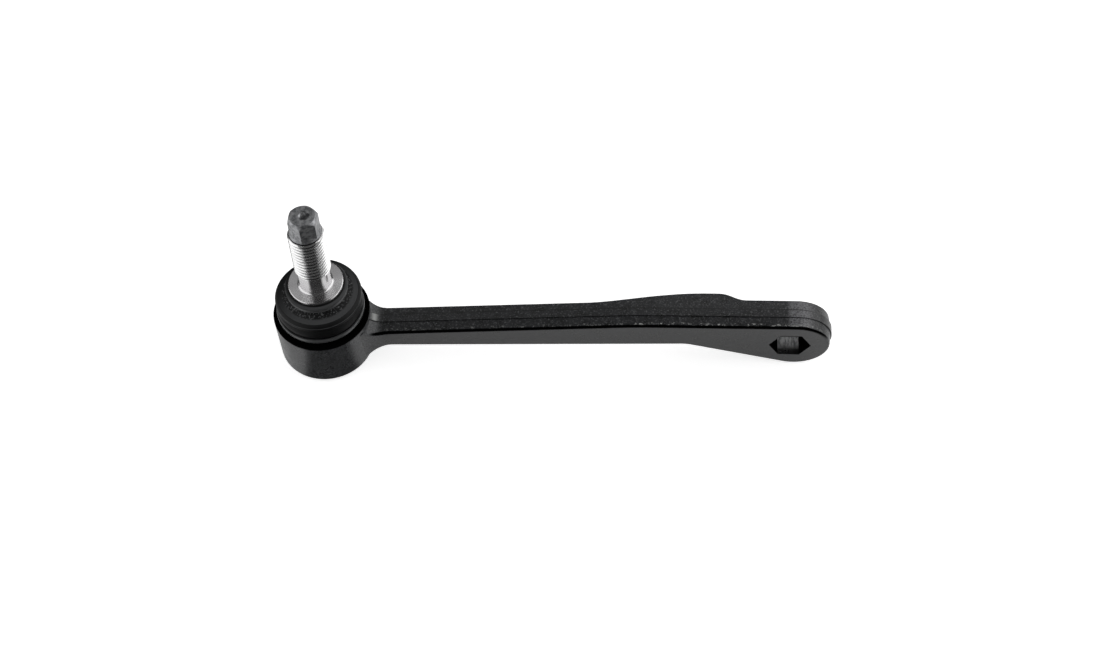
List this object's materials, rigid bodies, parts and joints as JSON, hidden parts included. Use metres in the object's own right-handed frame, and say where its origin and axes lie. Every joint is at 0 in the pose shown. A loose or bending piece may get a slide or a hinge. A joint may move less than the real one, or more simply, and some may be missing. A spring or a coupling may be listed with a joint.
{
  "type": "stabilizer link",
  "caption": "Forged steel stabilizer link with a booted ball joint and threaded stud at one end and a flat eye with a hexagonal hole at the other.",
  "frame": {"origin": "centre of the ball, inside the cup", "axes": "+Z along the ball stud towards its hexagonal tip, +X from the ball towards the eye, +Y to the back of the arm"},
  "size_m": [0.1816, 0.0316, 0.0835],
  "materials": {
    "forged_body": "satin black paint over a forged surface",
    "bearing_plastic": "natural moulded acetal",
    "plate_steel": "satin black paint on pressed sheet",
    "stud_steel": "bright zinc plating on turned and rolled steel, duller on the sawn tip",
    "boot_rubber": "matte moulded black rubber",
    "ring_steel": "glossy black coated spring steel"
  },
  "bodies": {
    "housing": {"link_body": "forged_body", "bearing_shell": "bearing_plastic", "cover_plate": "plate_steel", "boot_clamp_ring": "ring_steel"},
    "boot_body": {"boot": "boot_rubber"},
    "top_ring": {"boot_top_ring": "ring_steel"},
    "stud": {"ball_stud": "stud_steel"}
  },
  "joints": [
    {"name": "stud_tilt_x", "type": "hinge", "parent": "housing", "child": "boot_body", "pos_m": [0, 0, 0], "axis": [1, 0, 0], "range_deg": [-18, 18], "deforming": ["boot"]},
    {"name": "stud_tilt_y", "type": "hinge", "parent": "boot_body", "child": "top_ring", "pos_m": [0, 0, 0], "axis": [0, 1, 0], "range_deg": [-18, 18], "deforming": ["boot"]},
    {"name": "stud_spin", "type": "hinge", "parent": "top_ring", "child": "stud", "pos_m": [0, 0, 0], "axis": [0, 0, 1], "continuous": true}
  ]
}
